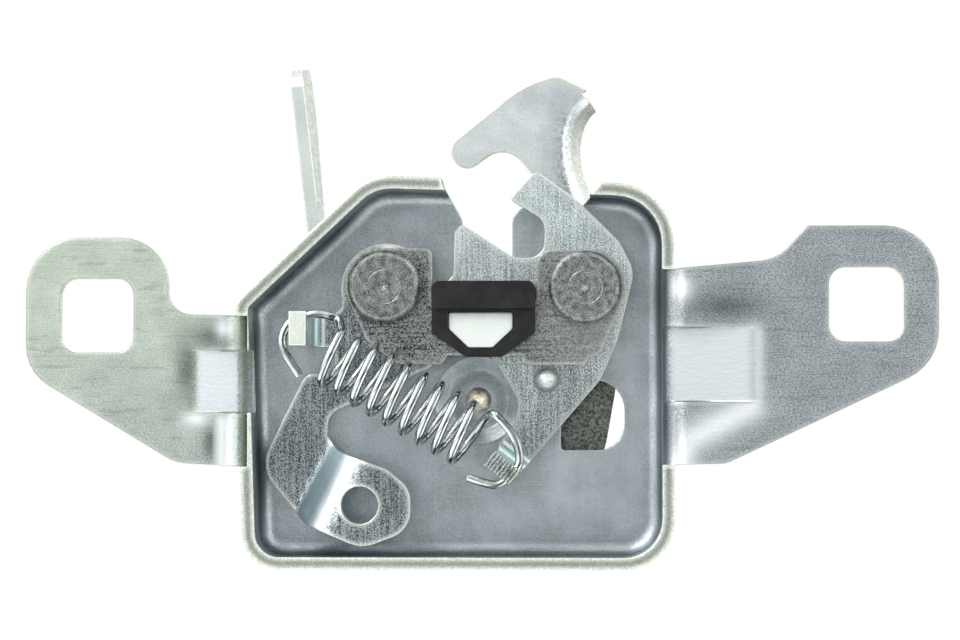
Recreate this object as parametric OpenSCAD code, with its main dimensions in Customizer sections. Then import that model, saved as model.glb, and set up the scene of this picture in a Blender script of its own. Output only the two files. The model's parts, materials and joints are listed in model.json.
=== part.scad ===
// Bonnet latch: a pressed pan with two bolt-on ears carries a striker claw and a release
// pawl under a bridge plate. One tension spring pulls both, and a safety catch with a
// finger blade turns behind the pan.
// X points right, Z up, and the front faces -Y. The origin lies midway between the two
// square bolt holes, on the back face of the ears.

/* [Base plate] */
// Thickness of the base plate's sheet
sheet_t = 1.8; // [1.5:0.1:2.2]
// Reach of the pan to the left of the origin
pan_left = 36.3; // [35:0.1:38]
// Reach of the pan to the right of the origin
pan_right = 28.8; // [28:0.1:30]
// Reach of the pan above the origin
pan_top = 20; // [19:0.1:22]
// Reach of the pan below the origin
pan_bottom = 38.4; // [37:0.1:42]
// Depth of the floor's front face behind the back of the ears
floor_y = 7; // [6.5:0.1:9]
// Inner radius of the bend between floor and wall
bend_r = 2; // [1.5:0.1:2.4]
// Depth of the dish that spaces the safety catch from the floor
dish_depth = 1.5; // [1.3:0.1:2.5]
// Radius of the dish at the floor
dish_r = 6.5; // [6:0.1:7.5]

/* [Ears] */
// Distance between the bolt holes along X
hole_span = 114; // [110:1:120]
// Height of the right bolt hole above the left one
hole_step = 1.5; // [0:0.1:3]
// Width of the square bolt holes
hole_w = 11; // [8.5:0.1:13]
// Corner radius of the bolt holes
hole_r = 2.5; // [0.5:0.1:4]
// Distance from a hole's centre to the ear's outer edge
ear_edge = 10.6; // [9:0.1:13]
// Distance from a hole's centre to the ear's top edge
ear_top = 11.6; // [9:0.1:13]
// Inner radius of the bend between ear and wall
ear_bend_r = 2; // [1:0.1:2.4]

/* [Striker slot] */
// Place of the slot's centre line along X
slot_x = 0.8; // [0:0.1:1.5]
// Width of the slot in the floor
slot_w = 7.6; // [7:0.1:8.5]
// Height of the slot's lower end
slot_low = 5; // [4:0.1:7]

/* [Pivots] */
// Place of the claw's pivot along X
claw_x = 15.6; // [15:0.1:16.2]
// Height of the claw's pivot
claw_z = 3.5; // [3:0.1:4]
// Place of the pawl's pivot along X
pawl_x = -14.4; // [-15:0.1:-13.8]
// Height of the pawl's pivot
pawl_z = 3.6; // [3:0.1:4.2]
// Radius of the rivets' shoulder, which the claw and the pawl turn on
shoulder_r = 4; // [3.5:0.1:4.5]
// Radius of the rivets where they pass through the plates
tenon_r = 3; // [2.2:0.1:3.2]
// Radius of the rivets' turned heads
head_r = 5.4; // [4.8:0.1:5.8]
// Thickness of the rivets' heads
head_t = 2; // [1.5:0.1:2.5]
// Radius of the rivets' tails behind the floor
tail_r = 4.4; // [3.8:0.1:5]
// Height of the rivets' tails
tail_t = 1.2; // [0.6:0.1:1.2]
// Radial running clearance of the pivots
pivot_gap = 0.05; // [0.02:0.01:0.1]

/* [Levers] */
// Thickness of the claw and the pawl
lever_t = 2.5; // [2:0.1:3]
// Play between the levers and the floor
floor_gap = 0.3; // [0.2:0.05:0.5]
// Play between the levers and the bridge plate
bridge_gap = 0.2; // [0.15:0.05:0.4]
// Thickness of the bridge plate
bridge_t = 2; // [1.5:0.1:2.5]
// Width of the spring tabs
tab_w = 5; // [4.5:0.1:6]
// Inner radius of the spring tabs' bends
tab_bend_r = 1; // [0.6:0.1:1.5]
// Height of the raised cable eye in front of the pawl
eye_rise = 5.2; // [4:0.1:6]
// Radius of the cable eye's hole
eye_hole_r = 2.8; // [2:0.1:3.2]
// Radius of the domed stud in the claw
stud_r = 1.65; // [1.2:0.05:2]

/* [Buffer] */
// Thickness of the buffer in front of the bridge plate
buffer_t = 1.7; // [1.2:0.1:2]
// Height of the buffer above the bridge plate's web
buffer_rise = 3.4; // [2:0.1:4]
// Side clearance of the buffer between the uprights
buffer_gap = 0.1; // [0.05:0.05:0.3]
// Step by which the buffer's upper block stands in front of its frame
buffer_lip = 0.8; // [0.4:0.1:1.2]

/* [Main spring] */
// Wire diameter of the main spring
wire_d = 1.25; // [1:0.05:1.3]
// Outer diameter of the main spring
spring_d = 10.2; // [9:0.1:10.6]
// Number of turns of the main spring
turns = 9; // [6:1:10]
// Clearance of the main spring in front of the bridge plate
spring_gap = 0.5; // [0.3:0.1:1.5]

/* [Safety catch] */
// Place of the catch's pivot along X
catch_x = -0.6; // [-1:0.1:0]
// Height of the catch's pivot
catch_z = -13.3; // [-14:0.1:-13]
// Thickness of the catch's sheet
catch_t = 2; // [1.5:0.1:2.2]
// Gap between the dish and the catch
catch_gap = 0.2; // [0.1:0.05:0.4]
// Radius of the catch's pivot
catch_pin_r = 3.5; // [2.5:0.1:4]
// Wire diameter of the catch's return spring
return_d = 1.2; // [0.8:0.1:1.4]
// Height of the hook's top above the catch's pivot
hook_rise = 49; // [47:0.5:52]
// Length of the flange behind the hook's right edge
flange_d = 4.5; // [3:0.1:6]
// Depth of the finger blade at its top
blade_d = 16; // [12:0.5:20]

/* [Hidden] */
$fn = 64;
// Largest step of an arc in an outline, in degrees
ARC_STEP = 12;
// Overlap that lets cutters pass cleanly through a face
CUT = 1;
WIRE_SIDES = 8;

claw_pivot = [claw_x, claw_z];
pawl_pivot = [pawl_x, pawl_z];
catch_pivot = [catch_x, catch_z];
hole_left = [-hole_span / 2, -hole_step / 2];
hole_right = [hole_span / 2, hole_step / 2];

// Layers along Y, from the floor to the front
floor_back = floor_y + sheet_t;
lever_y = floor_y - floor_gap - lever_t;
bridge_y = lever_y - bridge_gap - bridge_t;
spring_y = bridge_y - spring_gap - spring_d / 2;
tab_y = spring_y - 2.3;
buffer_y = bridge_y - buffer_t;
// Layers along Y behind the floor
dish_back = floor_back + dish_depth;
catch_y = dish_back + catch_gap;
return_y = catch_y + catch_t + 0.3;
return_turns = 3;
return_steps = 12 * return_turns;
return_len = (return_turns + 0.1) * (return_d + 0.05) + return_d;
// Place of the hole in the floor that holds the return spring's foot
return_foot = [catch_x - 19.4, catch_z - 10.7];
catch_head_y = return_y + return_len + 0.3;

// Vector helpers
function unit(v) = v / norm(v);
function flat(p) = [p[0], p[1]];
function shifted(points, by) = [for (p = points) [p[0] + by[0], p[1] + by[1], p[2]]];

// Arc of radius r that rounds the corner b between a and c
function corner_arc(a, b, c, r) =
    let (
        u = unit(a - b),
        v = unit(c - b),
        half = acos(u * v) / 2,
        center = b + unit(u + v) * r / sin(half),
        from = b + u * r / tan(half) - center,
        to = b + v * r / tan(half) - center,
        turn = atan2(from[0] * to[1] - from[1] * to[0], from * to),
        start = atan2(from[1], from[0]),
        n = max(2, ceil((180 - 2 * half) / ARC_STEP))
    )
    [for (i = [0:n]) center + r * [cos(start + turn * i / n), sin(start + turn * i / n)]];

// Outline with rounded corners from a list of [x, z, radius]
function rounded(points) =
    let (n = len(points))
    [for (i = [0:n - 1])
        each points[i][2] > 0
            ? corner_arc(flat(points[(i + n - 1) % n]), flat(points[i]),
                         flat(points[(i + 1) % n]), points[i][2])
            : [flat(points[i])]];

// Convex corner list moved inwards by d, with its radii reduced to suit
function inset(points, d) =
    let (n = len(points), least_r = 0.3)
    [for (i = [0:n - 1])
        let (
            b = flat(points[i]),
            u = unit(b - flat(points[(i + n - 1) % n])),
            v = unit(flat(points[(i + 1) % n]) - b),
            nu = [-u[1], u[0]],
            nv = [-v[1], v[0]],
            m = b + (nu + nv) * d / (1 + nu * nv)
        )
        [m[0], m[1], max(points[i][2] - d, least_r)]];

// Solid skin through closed rings of equal length, capped at both ends
module loft(rings) {
    n = len(rings[0]);
    last = len(rings) - 1;
    sides = [for (k = [0:last - 1], i = [0:n - 1])
        let (a = k * n + i, b = k * n + (i + 1) % n)
        each [[a, b + n, b], [a, a + n, b + n]]];
    caps = [[for (i = [0:n - 1]) i], [for (i = [n - 1:-1:0]) last * n + i]];
    polyhedron([for (ring = rings) each ring], concat(sides, caps));
}

// Round wire of diameter d along the points of a path
module wire(path, d) {
    last = len(path) - 1;
    tangents = [for (i = [0:last]) unit(path[min(i + 1, last)] - path[max(i - 1, 0)])];
    loft([for (i = [0:last])
        let (
            side = unit(cross(tangents[i], [0.1, 0.2, 1])),
            up = cross(side, tangents[i])
        )
        [for (k = [0:WIRE_SIDES - 1])
            let (a = 360 * k / WIRE_SIDES)
            path[i] + d / 2 * (cos(a) * side - sin(a) * up)]]);
}

// Smooth curve through hand-chosen points
function curve(p, steps = 4) =
    let (last = len(p) - 1)
    [for (i = [0:last - 1], s = [0:steps - 1])
        let (
            t = s / steps,
            a = p[max(i - 1, 0)],
            b = p[i],
            c = p[i + 1],
            d = p[min(i + 2, last)]
        )
        0.5 * (2 * b + (c - a) * t + (2 * a - 5 * b + 4 * c - d) * t * t
            + (3 * b - a - 3 * c + d) * t * t * t)];

// Plate of thickness t standing in the XZ plane, with its front face at y
module plate(y, t) {
    translate([0, y + t, 0]) rotate([90, 0, 0]) linear_extrude(t) children();
}

module outline(points) {
    polygon(rounded(points));
}

// Turned shape along Y at a pivot, from a profile of [radius, y]
module turned(at) {
    translate([at[0], 0, at[1]]) rotate([-90, 0, 0]) rotate_extrude() children();
}

// Round rod or hole along Y
module rod(at, r, y0, y1) {
    translate([at[0], y0, at[1]]) rotate([-90, 0, 0]) cylinder(r = r, h = y1 - y0);
}

// Base plate

pan_corners = [
    [-pan_left + 1.3, -pan_bottom, 5.5],
    [pan_right, -pan_bottom, 7.5],
    [pan_right, pan_top - 1.5, 9],
    [-pan_left + 20, pan_top, 8],
    [-pan_left, 1.2, 3]
];

left_ear = [
    [hole_left[0] - ear_edge, hole_left[1] + ear_top, 8],
    [hole_left[0] - ear_edge, -9.1, 7],
    [-45.2, -22.6, 6],
    [-pan_left + sheet_t / 2, -23.2, 0],
    [-pan_left + sheet_t / 2, -0.8, 0],
    [hole_left[0] + ear_edge, -0.5, 3.5],
    [hole_left[0] + ear_edge, hole_left[1] + ear_top, 7]
];

right_ear = [
    [pan_right - sheet_t / 2, 6, 0],
    [pan_right - sheet_t / 2, -22.9, 0],
    [36.4, -22.7, 3],
    [hole_right[0] + ear_edge, -8, 8],
    [hole_right[0] + ear_edge, hole_right[1] + ear_top, 8],
    [hole_right[0] - ear_edge + 2, hole_right[1] + ear_top, 0.6],
    [43.8, 7.4, 6]
];

striker_slot = [
    [slot_x - slot_w / 2 - 2.8, pan_top + 10, 0],
    [slot_x - slot_w / 2 - 2.8, 19, 3],
    [slot_x - slot_w / 2, 14, 3],
    [slot_x - slot_w / 2, slot_low, 3],
    [slot_x + slot_w / 2, slot_low, 3],
    [slot_x + slot_w / 2, 15.9, 2.5],
    [claw_x - 0.6, 15.9, 1],
    [claw_x + 2.2, 18.5, 1],
    [claw_x + 2.2, pan_top + 10, 0]
];

stud_window = [
    [claw_x - 3.7, -20.8, 0.5],
    [claw_x + 5.9, -20.8, 4],
    [claw_x + 5.9, -10.3, 4.5],
    [claw_x - 3.7, -10.3, 0.5]
];

module square_hole(at) {
    plate(-sheet_t - CUT, sheet_t + 2 * CUT) translate(at) outline([
        [-hole_w / 2, -hole_w / 2, hole_r],
        [hole_w / 2, -hole_w / 2, hole_r],
        [hole_w / 2, hole_w / 2, hole_r],
        [-hole_w / 2, hole_w / 2, hole_r]
    ]);
}

// Dished pan: floor, bend, wall and rim as one skin
module pan() {
    outer_r = bend_r + sheet_t;
    angles = [0:15:90];
    profile = concat(
        [for (a = angles) outer_r * [1 - sin(a), cos(a) - 1] + [0, floor_back]],
        [[0, -sheet_t], [sheet_t, -sheet_t]],
        [for (a = angles)
            [outer_r - bend_r * cos(a), floor_back - outer_r + bend_r * sin(a)]]
    );
    loft([for (step = profile)
        [for (p = rounded(inset(pan_corners, step[0]))) [p[0], step[1], p[1]]]]);
}

// Corner piece between ear and wall: the square corner less a round of radius r
module corner_square(at, side, r) {
    difference() {
        translate([min(at[0], at[0] + side * r), at[1]]) square(r);
        translate(at + [side * r, r]) circle(r);
    }
}

// Runs a profile in the XY plane up the wall from z0 to z1
module along_wall(z0, z1) {
    translate([0, 0, z0]) linear_extrude(z1 - z0) children();
}

// Stiffening darts pressed into the bends of the ears: [lower end, upper end, reach from the
// wall's inner face to the ear, reach of the round next to the wall, slope]
left_dart = [-15.2, -5.9, 7.9, 2.4, 0.47];
right_dart = [-13.6, -2.5, 13.4, 2, 0.27];
// Half length of the soft start of a dart on the ear
dart_soft = 1.2;

// Front of a dart at distance s from the wall: soft start, even slope, then a round
function dart_depth(d, s) =
    let (
        a = 90 - atan(d[4]),
        r = d[3] / (1 - cos(a)),
        low = -sheet_t + d[4] * (d[2] - d[3]),
        soft = d[2] + dart_soft - s
    )
    s > d[2] - dart_soft ? -sheet_t + d[4] * soft * soft / (4 * dart_soft)
    : s > d[3] ? -sheet_t + d[4] * (d[2] - s)
    : low + r * sin(a) - sqrt(r * r - (r - s) * (r - s));

function dart_front(d) = [for (s = concat(
    [for (i = [3:-1:-3]) d[2] + dart_soft * i / 3],
    [for (i = [0:6]) d[3] * (1 - sin(90 * i / 6))])) [s, dart_depth(d, s)]];

module dart_cut(d) {
    front = dart_front(d);
    translate([0, 0, d[0]]) linear_extrude(d[1] - d[0])
        polygon(concat([[-CUT, -sheet_t - CUT], [d[2] + dart_soft, -sheet_t - CUT]], front,
                       [[-CUT, dart_depth(d, 0)]]));
}

// Skin behind a dart, one sheet thick
module dart_fill(d) {
    front = dart_front(d);
    last = len(front) - 1;
    skin = [for (i = [0:last])
        let (t = unit(front[min(i + 1, last)] - front[max(i - 1, 0)]))
        front[i] + sheet_t * [t[1], -t[0]]];
    translate([0, 0, d[0]]) linear_extrude(d[1] - d[0])
        polygon(concat([[sheet_t / 2, -sheet_t / 2], [d[2] + dart_soft, -sheet_t / 2]], skin,
                       [[sheet_t / 2, skin[last][1]]]));
}

// Places a shape, drawn outwards from a wall's inner face, at the left or right wall
module at_wall(side) {
    translate([side > 0 ? pan_right - sheet_t : sheet_t - pan_left, 0, 0])
        mirror([side > 0 ? 0 : 1, 0, 0]) children();
}

module base_plate() color("silver") {
    left_wall = -pan_left;
    inner_left = -pan_left + sheet_t;
    inner_right = pan_right - sheet_t;
    front_r = ear_bend_r + sheet_t;
    difference() {
        union() {
            pan();
            plate(-sheet_t, sheet_t) outline(left_ear);
            plate(-sheet_t, sheet_t) outline(right_ear);
            along_wall(-23, -1) corner_square([left_wall, 0], -1, ear_bend_r);
            along_wall(-22.7, 5.8) corner_square([pan_right, 0], 1, ear_bend_r);
            at_wall(-1) dart_fill(left_dart);
            at_wall(1) dart_fill(right_dart);
            translate([catch_x, floor_back, catch_z]) rotate([-90, 0, 0])
                cylinder(r1 = dish_r + sheet_t / 2, r2 = dish_r - 1.2, h = dish_depth);
        }
        along_wall(-23.2, -0.8) corner_square([inner_left, -sheet_t], -1, front_r);
        along_wall(-22.9, 6) corner_square([inner_right, -sheet_t], 1, front_r);
        at_wall(-1) dart_cut(left_dart);
        at_wall(1) dart_cut(right_dart);
        translate([catch_x, floor_y, catch_z]) rotate([-90, 0, 0])
            cylinder(r1 = dish_r, r2 = dish_r - 2, h = dish_depth);
        square_hole(hole_left);
        square_hole(hole_right);
        plate(-sheet_t - CUT, floor_back + sheet_t + 2 * CUT) outline(striker_slot);
        plate(floor_y - CUT, sheet_t + 2 * CUT) outline(stud_window);
        rod(claw_pivot, tenon_r, floor_y - CUT, floor_back + CUT);
        rod(pawl_pivot, tenon_r, floor_y - CUT, floor_back + CUT);
        rod(catch_pivot, catch_tenon_r, floor_y, dish_back + CUT);
        rod(return_foot, return_d / 2 + return_gap, floor_y - CUT, floor_back + CUT);
    }
}

// Bridge plate

// Height of the web's top edge, where the buffer sits
web_top = pawl_z - 2.6;
web_low = pawl_z - 10.2;
bridge_low = pawl_z - 11.6;
upright_left = pawl_x + 7.1;
upright_right = claw_x - 7.3;
// Radius of the inner corners that the buffer sits in
web_corner_r = 1;

bridge_corners = [
    [pawl_x + 1.9, bridge_low, 3],
    [pawl_x + 8.6, bridge_low, 1],
    [pawl_x + 9.4, web_low, 0.5],
    [claw_x - 9.4, web_low, 0.5],
    [claw_x - 8.8, bridge_low, 0.8],
    [claw_x + 0.2, bridge_low, 0.8],
    [claw_x + 0.6, web_low - 0.3, 0.4],
    [claw_x + 2.1, web_low, 1.5],
    [claw_x + 6, claw_z - 1, 6],
    [claw_x + 6, claw_z + 5.6, 5],
    [upright_right, claw_z + 5.6, 2.5],
    [upright_right, web_top, web_corner_r],
    [upright_left, web_top, web_corner_r],
    [upright_left, pawl_z + 5.8, 1.2],
    [pawl_x - 5.9, pawl_z + 5.8, 5],
    [pawl_x - 5.9, pawl_z - 0.6, 4],
    [pawl_x - 2.7, pawl_z - 8, 2]
];

// Middle of the tongue, and how far it stands out at its upper and lower end
tongue_x = slot_x - 0.75;
tongue_out = [0.7, 1.5];
tongue_top = web_top - 1.2;
tongue_low = web_top - 6.5;
tongue = [
    [tongue_x - 4.8, tongue_top, 0.3],
    [tongue_x - 4.8, tongue_low + 2.8, 0.6],
    [tongue_x - 1.8, tongue_low, 0.6],
    [tongue_x + 1.8, tongue_low, 0.6],
    [tongue_x + 4.8, tongue_low + 2.8, 0.6],
    [tongue_x + 4.8, tongue_top, 0.3]
];

// Front of the sloping tongue at height z
function tongue_y(z) = bridge_y - tongue_out[0]
    + (tongue_out[0] - tongue_out[1]) * (tongue_top - z) / (tongue_top - tongue_low);

module sloping_tongue() {
    ring = rounded(tongue);
    loft([[for (p = ring) [p[0], bridge_y + bridge_t / 2, p[1]]],
          [for (p = ring) [p[0], tongue_y(p[1]), p[1]]]]);
}

module bridge_plate() color("dimgray") difference() {
    union() {
        plate(bridge_y, bridge_t) outline(bridge_corners);
        sloping_tongue();
    }
    rod(claw_pivot, tenon_r, bridge_y - CUT, bridge_y + bridge_t + CUT);
    rod(pawl_pivot, tenon_r, bridge_y - CUT, bridge_y + bridge_t + CUT);
}

// Room left in the buffer's window round the tongue
tongue_gap = 0.1;

buffer_left = upright_left + buffer_gap;
buffer_right = upright_right - buffer_gap;
buffer_top = web_top + buffer_rise;
buffer_low = web_top - 7.9;
buffer_block_low = web_top - 0.7;

buffer_front = [
    [buffer_left, buffer_top, 1.2],
    [buffer_left, buffer_low + 3.6, 1],
    [buffer_left + 5, buffer_low, 1],
    [buffer_right - 5, buffer_low, 1],
    [buffer_right, buffer_low + 3.6, 1],
    [buffer_right, buffer_top, 1.2]
];

module buffer() color([0.08, 0.08, 0.08]) {
    difference() {
        plate(buffer_y, buffer_t) outline(buffer_front);
        plate(buffer_y - CUT, buffer_t + 2 * CUT) outline(tongue_window);
    }
    plate(buffer_y - buffer_lip, buffer_lip + buffer_t) outline([
        [buffer_left, buffer_block_low, 0.6],
        [buffer_right, buffer_block_low, 0.6],
        [buffer_right, buffer_top, 1.2],
        [buffer_left, buffer_top, 1.2]
    ]);
    plate(bridge_y, bridge_t) outline([
        [buffer_left, web_top, web_corner_r],
        [buffer_right, web_top, web_corner_r],
        [buffer_right, buffer_top, 1.2],
        [buffer_left, buffer_top, 1.2]
    ]);
}

tongue_window = [for (p = tongue)
    [p[0] + sign(p[0] - tongue_x) * tongue_gap,
     p[1] + (p[1] == tongue_top ? tongue_gap : -tongue_gap), p[2]]];

// Pivot rivet: turned head, shoulder for the lever, tail peened behind the floor
module pivot_rivet(at) {
    front = bridge_y - head_t;
    turned(at) polygon([
        [0, front + 0.5], [0.7, front + 0.4], [1.1, front],
        [2.3, front], [2.5, front + 0.15], [2.7, front],
        [head_r - 0.5, front], [head_r, front + 0.5],
        [head_r, bridge_y], [tenon_r, bridge_y],
        [tenon_r, bridge_y + bridge_t], [shoulder_r, bridge_y + bridge_t],
        [shoulder_r, floor_y], [tenon_r, floor_y],
        [tenon_r, floor_back], [tail_r, floor_back],
        [tail_r - 0.5, floor_back + tail_t], [0, floor_back + tail_t]
    ]);
}

module pawl_rivet() color("gainsboro") pivot_rivet(pawl_pivot);

module claw_rivet() color("gainsboro") pivot_rivet(claw_pivot);

// Strip that leaves a lever at right angles, towards the front.
// The strip's middle is at [x, z], and angle is the way from it to the lever's body.
module bent_tab(at, angle, reach) {
    bend_u = lever_t / 2 + tab_bend_r;
    bend_v = lever_y - tab_bend_r;
    translate([at[0], 0, at[1]]) rotate([0, -angle, 0]) linear_extrude(tab_w, center = true) {
        translate([bend_u, lever_y]) square([reach, lever_t]);
        translate([-lever_t / 2, tab_y]) square([lever_t, bend_v - tab_y]);
        intersection() {
            translate([bend_u, bend_v]) difference() {
                circle(tab_bend_r + lever_t);
                circle(tab_bend_r);
            }
            translate([bend_u - tab_bend_r - lever_t, bend_v])
                square(tab_bend_r + lever_t);
        }
    }
}

// Notch that keeps a spring hook on a tab: cuts the tab's end from w0 outwards
module hook_notch(at, angle, w0, w1) {
    room = wire_d + 0.5;
    translate([at[0], 0, at[1]]) rotate([0, -angle, 0])
        translate([-lever_t, spring_y - room / 2, w0]) cube([2 * lever_t, room, w1 - w0]);
}

// Claw, drawn about its pivot

claw_corners = [
    [-9, -26.5, 0.6],
    [-7.4, -25, 1.2],
    [2.3, -13.7, 6],
    [4.8, -8, 10],
    [7.4, 2.4, 4.5],
    [5.2, 6.9, 4.5],
    [-1, 13.1, 8],
    [-7.5, 17.7, 1.2],
    [-11.4, 13.4, 0.6],
    [-6, 10.1, 2.5],
    [-6.2, 4.55, 2.3],
    [-10.6, 4.55, 1.2],
    [-18.5, 9.7, 0.5],
    [-19.6, 8.5, 0.8],
    [-19.8, 1.9, 0.5],
    [-20.9, 0.9, 0.4],
    [-20.5, -0.6, 0.4],
    [-16.6, -6.9, 2],
    [-12.7, -12.1, 3],
    [-9.9, -17.1, 3],
    [-10.6, -20.7, 2],
    [-13.2, -23.6, 0.4]
];

claw_tab = claw_pivot + [-12.1, -26.8];
claw_tab_angle = 52;
claw_stud_at = claw_pivot + [-5.8, -13.7];

module claw() color("lightgray") difference() {
    union() {
        plate(lever_y, lever_t) outline(shifted(claw_corners, claw_pivot));
        bent_tab(claw_tab, claw_tab_angle, 3);
    }
    rod(claw_pivot, shoulder_r + pivot_gap, lever_y - CUT, lever_y + lever_t + CUT);
    rod(claw_stud_at, stud_r - 0.3, lever_y - CUT, lever_y + lever_t + CUT);
    hook_notch(claw_tab, claw_tab_angle, -tab_w / 2 - CUT, -0.4);
}

// Stud pressed into the claw, with a domed head in front
module claw_stud() color("silver") turned(claw_stud_at) polygon([
    [0, lever_y - 0.9], [0.8, lever_y - 0.75], [1.35, lever_y - 0.4], [stud_r, lever_y],
    [stud_r - 0.3, lever_y], [stud_r - 0.3, lever_y + lever_t], [0, lever_y + lever_t]
]);

// Pawl, drawn about its pivot

pawl_boss_r = 6.7;
// Height of the spring tab's middle, and the ends of the arm's first bend line
pawl_tab_z = -6.4;
arm_low = [-14.15, -32.8];
arm_high = [-8.8, -22.2];
pawl_corners = [
    [6.7, -12, 0.6],
    [8.8, -8.4, 0.8],
    [5.9, 0, 0],
    [0, 4, 0],
    [-6.5, 1, 0],
    [-6.5, pawl_tab_z + tab_w / 2, 1.6],
    [-10, pawl_tab_z + tab_w / 2, 0],
    [-10, pawl_tab_z - tab_w / 2, 0],
    [-7.6, pawl_tab_z - tab_w / 2, 1],
    [-7.6, -12.8, 1.2],
    [-12, -13, 2],
    [-19, -27, 5],
    [arm_low[0], arm_low[1], 0],
    [arm_high[0], arm_high[1], 0],
    [-8.5, -18.9, 2.5],
    [-4.9, -17.2, 1]
];
eye_corners = [
    [arm_low[0], arm_low[1], 0],
    [-12.1, -35.2, 4],
    [-3.1, -38.9, 5],
    [4.1, -36.2, 4],
    [4, -30.1, 3.5],
    [0.6, -27.2, 3],
    [-7.1, -24.5, 2],
    [arm_high[0], arm_high[1], 0],
    [-13, -25.5, 0]
];
pawl_tab = pawl_pivot + [-12.25, pawl_tab_z];
eye_at = pawl_pivot + [-3.45, -32.5];
// Joggle of the arm: the middle of its first bend line and the way across it
joggle_at = pawl_pivot + (arm_low + arm_high) / 2;
joggle_angle = atan2(arm_high[1] - arm_low[1], arm_high[0] - arm_low[0]) - 90;

// Section of the joggled arm: flat, ramp at 45 degrees, raised flat
module joggle_section() {
    lean = lever_t * tan(22.5);
    ramp_end = 1 + eye_rise;
    outline([
        [-20, lever_y, 0],
        [1, lever_y, 2],
        [ramp_end, lever_y - eye_rise, 3 + lever_t],
        [40, lever_y - eye_rise, 0],
        [40, lever_y - eye_rise + lever_t, 0],
        [ramp_end + lean, lever_y - eye_rise + lever_t, 3],
        [1 + lean, lever_y + lever_t, 2 + lever_t],
        [-20, lever_y + lever_t, 0]
    ]);
}

module pawl() color("slategray") difference() {
    union() {
        plate(lever_y, lever_t) union() {
            translate(pawl_pivot) circle(pawl_boss_r);
            outline(shifted(pawl_corners, pawl_pivot));
        }
        intersection() {
            plate(lever_y - eye_rise - CUT, lever_t + eye_rise + 2 * CUT)
                outline(shifted(eye_corners, pawl_pivot));
            translate([joggle_at[0], 0, joggle_at[1]]) rotate([0, -joggle_angle, 0])
                linear_extrude(60, center = true) joggle_section();
        }
        bent_tab(pawl_tab, 0, 3);
    }
    rod(pawl_pivot, shoulder_r + pivot_gap, lever_y - CUT, lever_y + lever_t + CUT);
    rod(eye_at, eye_hole_r, lever_y - eye_rise - CUT, lever_y - eye_rise + lever_t + CUT);
    hook_notch(pawl_tab, 0, -0.2, tab_w / 2 + CUT);
}

// Main spring, from the pawl's tab to the claw's tab

coil_start = pawl_tab + [4.45, -3.65];
coil_end = claw_tab + [-4.1, 4.15];
coil_r = (spring_d - wire_d) / 2;
coil_along = unit(coil_end - coil_start);
coil_up = [-coil_along[1], coil_along[0]];
coil_pitch = norm(coil_end - coil_start) / turns;

function in_plane(points) = [for (p = points) [p[0], spring_y, p[1]]];
function coil_point(a) =
    let (p = coil_start + coil_along * coil_pitch * a / 360 + coil_up * coil_r * cos(a))
    [p[0], spring_y - coil_r * sin(a), p[1]];

pawl_hook = in_plane([for (p = [
    [0.2, -7], [-1.6, -4.2], [-2.4, -2.4], [-2.3, -0.8], [-1.4, 0.8], [0, 1.5],
    [1.4, 1.95], [2.8, 2.2], [4.5, 1.9], [5.9, 1.3]]) pawl_tab + p]);
claw_hook = in_plane([for (p = [
    [-1.3, 7.85], [-0.1, 6.8], [1.4, 4.9], [2.25, 2.8], [2.45, 0.8], [1.65, -0.45], [0.7, -1.4],
    [-0.2, -2.15], [-1.3, -2.5], [-2.8, -2.2], [-5.2, -1.4]]) claw_tab + p]);

module main_spring() color("darkgray") {
    coil = [for (a = [30:30:360 * turns - 60]) coil_point(a)];
    wire(concat(curve(concat(pawl_hook, [coil[0]])), coil,
                curve(concat([coil_point(360 * turns - 30)], claw_hook)),
                [claw_hook[len(claw_hook) - 1]]), wire_d);
}

// Safety catch, drawn about its pivot

catch_tenon_r = 1.6;
// Line along which the flange is bent back, from its lower end up
flange_line = curve([for (p = [
    [15.6, 22], [14.5, 19.5], [13.5, 17], [12.7, 14.5], [12.3, 11.8], [12.35, 9.2],
    [12.8, 6.8], [13.7, 4.6], [15, 2.8], [16.3, 1.7]]) [p[0], hook_rise - p[1]]], 2);
catch_corners = concat([
    [18.6, -10.5, 5],
    [20.8, 2, 8],
    [20.6, 18, 10],
    [17.8, 24.4, 2.5]
], [for (p = flange_line) [p[0], p[1], 0]], [
    [16.3, hook_rise - 1.7, 0],
    [11.6, hook_rise + 0.6, 4],
    [6.2, hook_rise - 1.4, 12],
    [-5.2, hook_rise - 10.55, 2.3],
    [-2.3, hook_rise - 14.3, 2.2],
    [4.1, hook_rise - 9.7, 3.7],
    [9.4, hook_rise - 16, 3],
    [8.5, 14.5, 5],
    [0, 8.8, 6],
    [-9.5, 10, 6],
    [-20, 22.5, 3],
    [-24.8, 23, 0],
    [-23.4, 9.5, 0],
    [-9.5, -6, 6],
    [-6, -10, 5]
]);
// Angle through which the flange is bent, and its section as [outwards, depth]
flange_turn = 75;
flange_edge = catch_t * [sin(flange_turn), 1 - cos(flange_turn)]
    + flange_d * [cos(flange_turn), sin(flange_turn)];
flange_section = concat(
    [[-1.2, 0]],
    [for (a = [0:15:flange_turn]) catch_t * [sin(a), 1 - cos(a)]],
    [flange_edge, flange_edge + catch_t * [-sin(flange_turn), cos(flange_turn)],
     [0, catch_t], [-1.2, catch_t]]
);

// Flange behind the hook's right edge, which stiffens it
module hook_flange() {
    last = len(flange_line) - 1;
    loft([for (i = [0:last])
        let (
            t = unit(flange_line[min(i + 1, last)] - flange_line[max(i - 1, 0)]),
            outwards = [t[1], -t[0]]
        )
        [for (q = flange_section)
            let (p = catch_pivot + flange_line[i] + outwards * q[0])
            [p[0], catch_y + q[1], p[1]]]]);
}

blade_lean = 6.8;
blade_at = catch_pivot + [-24.9, 23];
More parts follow.
